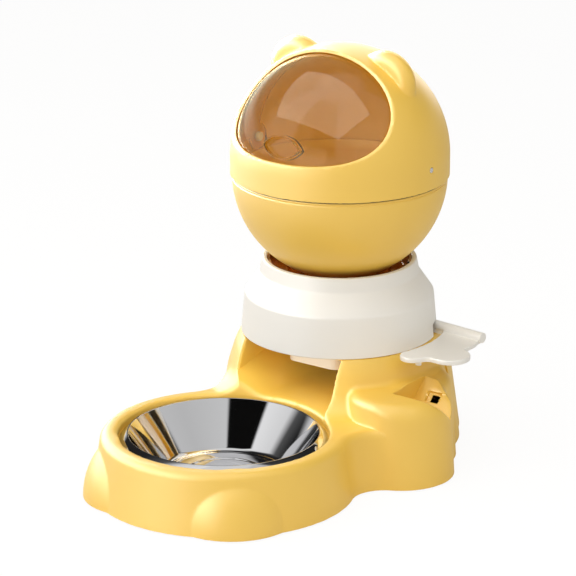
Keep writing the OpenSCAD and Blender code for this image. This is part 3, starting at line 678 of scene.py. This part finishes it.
def moulded(name, low, high, roughness, grain=0.04, shine=0.5):
    """Injection-moulded plastic: a faint cloud in its colour, uneven gloss and a fine orange-peel skin."""
    made, tree, shader = material(name)
    where = node(tree, "ShaderNodeTexCoord")
    cloud = node(tree, "ShaderNodeTexNoise", Scale=9.0, Detail=3.0)
    ramp = node(tree, "ShaderNodeValToRGB")
    for stop, position, colour in zip(ramp.color_ramp.elements, (0.3, 0.7), (low, high)):
        stop.position, stop.color = position, (*colour, 1)
    gloss = map_range(tree, 0, 1, roughness - 0.03, roughness + 0.03)
    peel = node(tree, "ShaderNodeTexNoise", Scale=420.0, Detail=2.0)
    bump = node(tree, "ShaderNodeBump", Strength=grain, Distance=0.0004)
    link = tree.links.new
    link(where.outputs["Object"], cloud.inputs["Vector"])
    link(where.outputs["Object"], peel.inputs["Vector"])
    link(cloud.outputs["Fac"], ramp.inputs["Fac"])
    link(ramp.outputs["Color"], shader.inputs["Base Color"])
    link(cloud.outputs["Fac"], gloss.inputs["Value"])
    link(gloss.outputs["Result"], shader.inputs["Roughness"])
    link(peel.outputs["Fac"], bump.inputs["Height"])
    link(bump.outputs["Normal"], shader.inputs["Normal"])
    shader.inputs["IOR"].default_value = 1.5
    shader.inputs["Specular IOR Level"].default_value = shine
    return made


def steel(name, colour, roughness, scratch):
    """Polished stainless steel with fine turning marks round its axis."""
    made, tree, shader = material(name)
    where = node(tree, "ShaderNodeTexCoord")
    stretch = node(tree, "ShaderNodeMapping", Scale=(40, 40, 2600))
    marks = node(tree, "ShaderNodeTexNoise", Scale=1.0, Detail=4.0)
    gloss = map_range(tree, 0, 1, roughness * 0.6, roughness * 1.5)
    bump = node(tree, "ShaderNodeBump", Strength=scratch, Distance=0.00005)
    link = tree.links.new
    link(where.outputs["Object"], stretch.inputs["Vector"])
    link(stretch.outputs["Vector"], marks.inputs["Vector"])
    link(marks.outputs["Fac"], gloss.inputs["Value"])
    link(gloss.outputs["Result"], shader.inputs["Roughness"])
    link(marks.outputs["Fac"], bump.inputs["Height"])
    link(bump.outputs["Normal"], shader.inputs["Normal"])
    shader.inputs["Base Color"].default_value = (*colour, 1)
    shader.inputs["Metallic"].default_value = 1.0
    return made


def clear_plastic(name, colour, alpha):
    """Tinted clear plastic: light passes with the tint, and the surface mirrors at grazing angles."""
    made, tree, shader = material(name)
    where = node(tree, "ShaderNodeTexCoord")
    ripple = node(tree, "ShaderNodeTexNoise", Scale=14.0, Detail=1.0)
    bump = node(tree, "ShaderNodeBump", Strength=0.05, Distance=0.001)
    link = tree.links.new
    link(where.outputs["Object"], ripple.inputs["Vector"])
    link(ripple.outputs["Fac"], bump.inputs["Height"])
    link(bump.outputs["Normal"], shader.inputs["Normal"])
    shader.inputs["Base Color"].default_value = (*colour, 1)
    shader.inputs["Roughness"].default_value = 0.03
    shader.inputs["IOR"].default_value = 1.49
    shader.inputs["Transmission Weight"].default_value = 1.0
    # Lamps shine through the clear wall, so that what is behind it is lit
    path = node(tree, "ShaderNodeLightPath")
    lighting = node(tree, "ShaderNodeMath", operation="MAXIMUM")
    through = node(tree, "ShaderNodeBsdfTransparent", Color=(*[c ** alpha for c in colour], 1))
    mix = node(tree, "ShaderNodeMixShader")
    link(path.outputs["Is Shadow Ray"], lighting.inputs[0])
    link(path.outputs["Is Diffuse Ray"], lighting.inputs[1])
    link(lighting.outputs["Value"], mix.inputs["Fac"])
    link(shader.outputs["BSDF"], mix.inputs[1])
    link(through.outputs["BSDF"], mix.inputs[2])
    link(mix.outputs["Shader"], tree.nodes["Material Output"].inputs["Surface"])
    return made


FINISH = {
    "yellow_plastic": moulded(
        "yellow_plastic", (0.89, 0.570, 0.080), (0.91, 0.595, 0.094), 0.42, shine=0.9
    ),
    "white_plastic": moulded("white_plastic", (0.87, 0.86, 0.825), (0.89, 0.88, 0.85), 0.40),
    "amber_plastic": clear_plastic("amber_plastic", (0.85, 0.50, 0.16), 0.6),
    "visor_plastic": clear_plastic("visor_plastic", (0.96, 0.84, 0.51), 0.15),
    "bowl_steel": steel("bowl_steel", (0.72, 0.72, 0.73), 0.05, 0.08),
    "pin_steel": steel("pin_steel", (0.70, 0.70, 0.71), 0.2, 0.2),
    "foot_rubber": moulded("rubber", (0.022, 0.022, 0.023), (0.03, 0.03, 0.031), 0.7, 0.2),
    "seal_rubber": moulded("seal_rubber", (0.10, 0.075, 0.04), (0.13, 0.095, 0.05), 0.6, 0.15),
}
SLOT = {row["node"]: row["material_slot"] for row in frame["record"]["subparts"]}

for node_name, solid in frame["nodes"].items():
    for solid_slot in solid.material_slots:
        solid_slot.material = FINISH[SLOT[node_name]]


# Pieces that replace a node's solid
def stand_in(piece, name, body="feeder"):
    """The piece takes a node's finish and place, and moves with a body."""
    piece.data.materials.clear()
    piece.data.materials.append(FINISH[SLOT[name]])
    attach(piece, body)
    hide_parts(name)


base = shell("base_moulding", base_solid, base_hollow, BASE_GRID, BASE_INNER_CELL, GROUND)
dome = shell("dome_moulding", dome_solid, dome_hollow, DOME_GRID, DOME_INNER_CELL, DOME_CENTRE)
mirror_bowl = steel_bowl()
ball_bowl = lower_ball()
gate = skin("slide_gate", gate_field, GATE_GRID, GROUND)
floor_plate = skin("floor_plate", floor_plate_field, FLOOR_GRID, GROUND)
spout = skin("spout_moulding", spout_field, SPOUT_GRID, GROUND)
cover = skin("rear_cover_moulding", cover_field, COVER_GRID, GROUND)

stand_in(base, "base_shell")
stand_in(dome, "hopper_dome")
stand_in(mirror_bowl, "food_bowl")
stand_in(ball_bowl, "hopper_bowl")
stand_in(gate, "gate_slide", "gate")
stand_in(floor_plate, "base_plate")
stand_in(spout, "outlet_spout")
stand_in(cover, "rear_cover")


# Floor, room, lamps and camera
def floor():
    """Pale floor that shows itself nearly white to the camera, with the object's soft shadow."""
    mesh = bpy.data.meshes.new("floor")
    half = 6.0
    corners = [(-half, -half, 0), (half, -half, 0), (half, half, 0), (-half, half, 0)]
    mesh.from_pydata(corners, [], [(0, 1, 2, 3)])
    made = show(mesh)
    paint, tree, shader = material("floor")
    shader.inputs["Base Color"].default_value = (0.86, 0.86, 0.86, 1)
    shader.inputs["Roughness"].default_value = 0.9
    path = node(tree, "ShaderNodeLightPath")
    glow = node(tree, "ShaderNodeEmission", Strength=1.04)
    share = node(tree, "ShaderNodeMath", operation="MULTIPLY")
    share.inputs[1].default_value = 0.88
    mix = node(tree, "ShaderNodeMixShader")
    link = tree.links.new
    link(path.outputs["Is Camera Ray"], share.inputs[0])
    link(share.outputs["Value"], mix.inputs["Fac"])
    link(shader.outputs["BSDF"], mix.inputs[1])
    link(glow.outputs["Emission"], mix.inputs[2])
    link(mix.outputs["Shader"], tree.nodes["Material Output"].inputs["Surface"])
    mesh.materials.append(paint)


def banded_ring(tree, direction):
    """Brightness round the horizon, as metal and gloss mirror it."""
    turn = node(tree, "ShaderNodeMath", operation="ARCTAN2")
    bands = map_range(tree, -math.pi, math.pi)
    ramp = node(tree, "ShaderNodeValToRGB")
    link = tree.links.new
    link(direction.outputs["X"], turn.inputs[0])
    link(direction.outputs["Y"], turn.inputs[1])
    link(turn.outputs["Value"], bands.inputs["Value"])
    link(bands.outputs["Result"], ramp.inputs["Fac"])
    # Each stop is the direction it lies in, as degrees to the right of the camera, and its brightness
    stops = [
        (-180, 0.02), (-122, 0.02), (-104, 0.10), (-92, 0.85), (-60, 1.0), (-56, 0.004), (-8, 0.004),
        (-4, 0.72), (60, 0.62), (88, 0.66), (94, 0.05), (130, 0.02), (179, 0.02),
    ]
    row = sorted(((CAMERA_TURN + right + 180) % 360 - 180, level) for right, level in stops)
    points = ramp.color_ramp.elements
    while len(points) > 1:
        points.remove(points[0])
    for i, (degrees, level) in enumerate(row):
        # atan2(x, y) is 180 less the azimuth, which runs from -Y towards +X
        position = ((180 - degrees) / 360 + 0.5) % 1.0
        point = points[0] if i == 0 else points.new(position)
        point.position = position
        point.color = (level, level, level, 1)
    return ramp.outputs["Color"]


def mirrored_room(tree):
    """The banded ring, made white near the horizon and overhead, whatever the direction."""
    where = node(tree, "ShaderNodeTexCoord")
    direction = node(tree, "ShaderNodeSeparateXYZ")
    tree.links.new(where.outputs["Generated"], direction.inputs["Vector"])
    bright = banded_ring(tree, direction)
    for start, end, level in ((0.24, 0.10, 0.70), (0.90, 0.97, 0.82)):
        fade = map_range(tree, start, end, 0, level, interpolation_type="SMOOTHSTEP")
        lighter = node(tree, "ShaderNodeMath", operation="MAXIMUM")
        tree.links.new(direction.outputs["Z"], fade.inputs["Value"])
        tree.links.new(fade.outputs["Result"], lighter.inputs[0])
        tree.links.new(bright, lighter.inputs[1])
        bright = lighter.outputs["Value"]
    return bright


def studio():
    """Soft room: white to the camera, even to the object, and banded where metal and gloss mirror it."""
    world = bpy.data.worlds.new("studio")
    bpy.context.scene.world = world
    world.use_nodes = True
    tree = world.node_tree
    tree.nodes.clear()
    link = tree.links.new
    soft = node(tree, "ShaderNodeBackground", Color=(1, 0.95, 0.86, 1), Strength=0.50)
    mirror = node(tree, "ShaderNodeBackground", Strength=1.0)
    seen = node(tree, "ShaderNodeBackground", Color=(1, 1, 1, 1), Strength=1.0)
    link(mirrored_room(tree), mirror.inputs["Color"])
    path = node(tree, "ShaderNodeLightPath")
    lit, shown = node(tree, "ShaderNodeMixShader"), node(tree, "ShaderNodeMixShader")
    straight = node(tree, "ShaderNodeMath", operation="MAXIMUM")
    room = node(tree, "ShaderNodeOutputWorld")
    link(path.outputs["Is Camera Ray"], straight.inputs[0])
    link(path.outputs["Is Transmission Ray"], straight.inputs[1])
    link(path.outputs["Is Glossy Ray"], lit.inputs["Fac"])
    link(soft.outputs["Background"], lit.inputs[1])
    link(mirror.outputs["Background"], lit.inputs[2])
    link(straight.outputs["Value"], shown.inputs["Fac"])
    link(lit.outputs["Shader"], shown.inputs[1])
    link(seen.outputs["Background"], shown.inputs[2])
    link(shown.outputs["Shader"], room.inputs["Surface"])


def group(name, *pieces):
    """Collection of the pieces that a lamp shines on."""
    made = bpy.data.collections.new(name)
    for piece in pieces:
        made.objects.link(piece)
    return made


# The polished bowl mirrors the room alone: this group leaves it out and so means everything else
not_the_bowl = group("all_but_the_bowl", mirror_bowl)
not_the_bowl.collection_objects[0].light_linking.link_state = "EXCLUDE"
on_ball = group("ball_pieces", dome, ball_bowl)
on_base = group("base_pieces", base, cover, gate, frame["nodes"]["collar"])
in_cavity = group("cavity_pieces", base, spout)


def lamp(name, spot, target, size, power, colour=(1, 1, 1), lit=not_the_bowl):
    """Flat lamp at a place, turned to a target, that shines on a group."""
    data = bpy.data.lights.new(name, "AREA")
    data.shape, data.size, data.size_y = "RECTANGLE", size[0], size[1]
    data.energy, data.color = power, colour
    made = bpy.data.objects.new(name, data)
    made.location = spot
    made.rotation_mode = "QUATERNION"
    made.rotation_quaternion = (Vector(target) - Vector(spot)).to_track_quat("-Z", "Y")
    bpy.context.scene.collection.objects.link(made)
    made.light_linking.receiver_collection = lit
    return made


def room_lamps():
    """Broad soft lamps, of which only the one overhead shows in gloss."""
    for name, spot, target, size, power, colour in (
        ("left", (-1.05, -1.35, 1.05), (0, 0, 0.15), (2.4, 1.4), 6.2, (1.0, 0.99, 0.97)),
        ("front", (0.1, -1.9, 0.55), (0, 0, 0.1), (1.2, 0.7), 3.2, (1.0, 0.98, 0.95)),
        ("right", (1.6, -0.5, 0.9), (0, 0, 0.15), (1.4, 1.4), 3, (1.0, 0.97, 0.92)),
    ):
        lamp(name, spot, target, size, power, colour).visible_glossy = False
    lamp("top", (-0.1, -0.4, 1.35), (0, 0.05, 0.1), (2.2, 1.3), 11)


def sheen_panels():
    """Broad panels that only show as the sheen of the moulded pieces."""
    front, left, back = (-0.71, -1.47, 0.80), (-1.62, 0.14, 0.80), (-0.95, 1.25, 0.95)
    for name, spot, size, power, lit in (
        ("sheen_front", front, (1.9, 1.5), 62, on_ball),
        ("sheen_left", left, (2.5, 1.5), 230, on_ball),
        ("sheen_back", back, (2.4, 1.8), 35, on_ball),
        ("base_front", front, (1.9, 1.5), 50, on_base),
        ("base_left", left, (2.5, 1.5), 80, on_base),
    ):
        lamp(name, spot, (0, 0, 0.15), size, power, lit=lit).visible_diffuse = False


def bowl_light():
    """Light that the polished bowl throws back into the feed cavity."""
    for name, spot, target, size, power in (
        ("bowl_glow", (0, -0.150, 0.052), (0, 0, 0.085), (0.12, 0.05), 0.022),
        ("deck_glow", (0.005, -0.100, 0.094), (0.015, -0.055, 0.050), (0.10, 0.03), 0.014),
    ):
        from_spot, to_spot = GROUND + Vector(spot), GROUND + Vector(target)
        thrown = lamp(name, from_spot, to_spot, size, power, (1.0, 0.95, 0.84), in_cavity)
        thrown.visible_glossy = thrown.visible_camera = thrown.visible_transmission = False


def camera():
    """Long lens at the photo's place."""
    data = bpy.data.cameras.new("camera")
    data.sensor_width, data.lens = 36.0, CAMERA_LENS
    data.clip_start, data.clip_end = 0.1, 50.0
    made = bpy.data.objects.new("camera", data)
    bpy.context.scene.collection.objects.link(made)
    turn, rise = math.radians(CAMERA_TURN), math.radians(CAMERA_RISE)
    back = Vector((math.sin(turn) * math.cos(rise), -math.cos(turn) * math.cos(rise), math.sin(rise)))
    made.location = GROUND + Vector(CAMERA_SPOT)
    made.rotation_mode = "QUATERNION"
    made.rotation_quaternion = (-back).to_track_quat("-Z", "Y")
    bpy.context.scene.camera = made


floor()
studio()
room_lamps()
sheen_panels()
bowl_light()
camera()

scene = bpy.context.scene
scene.view_settings.view_transform = "Standard"
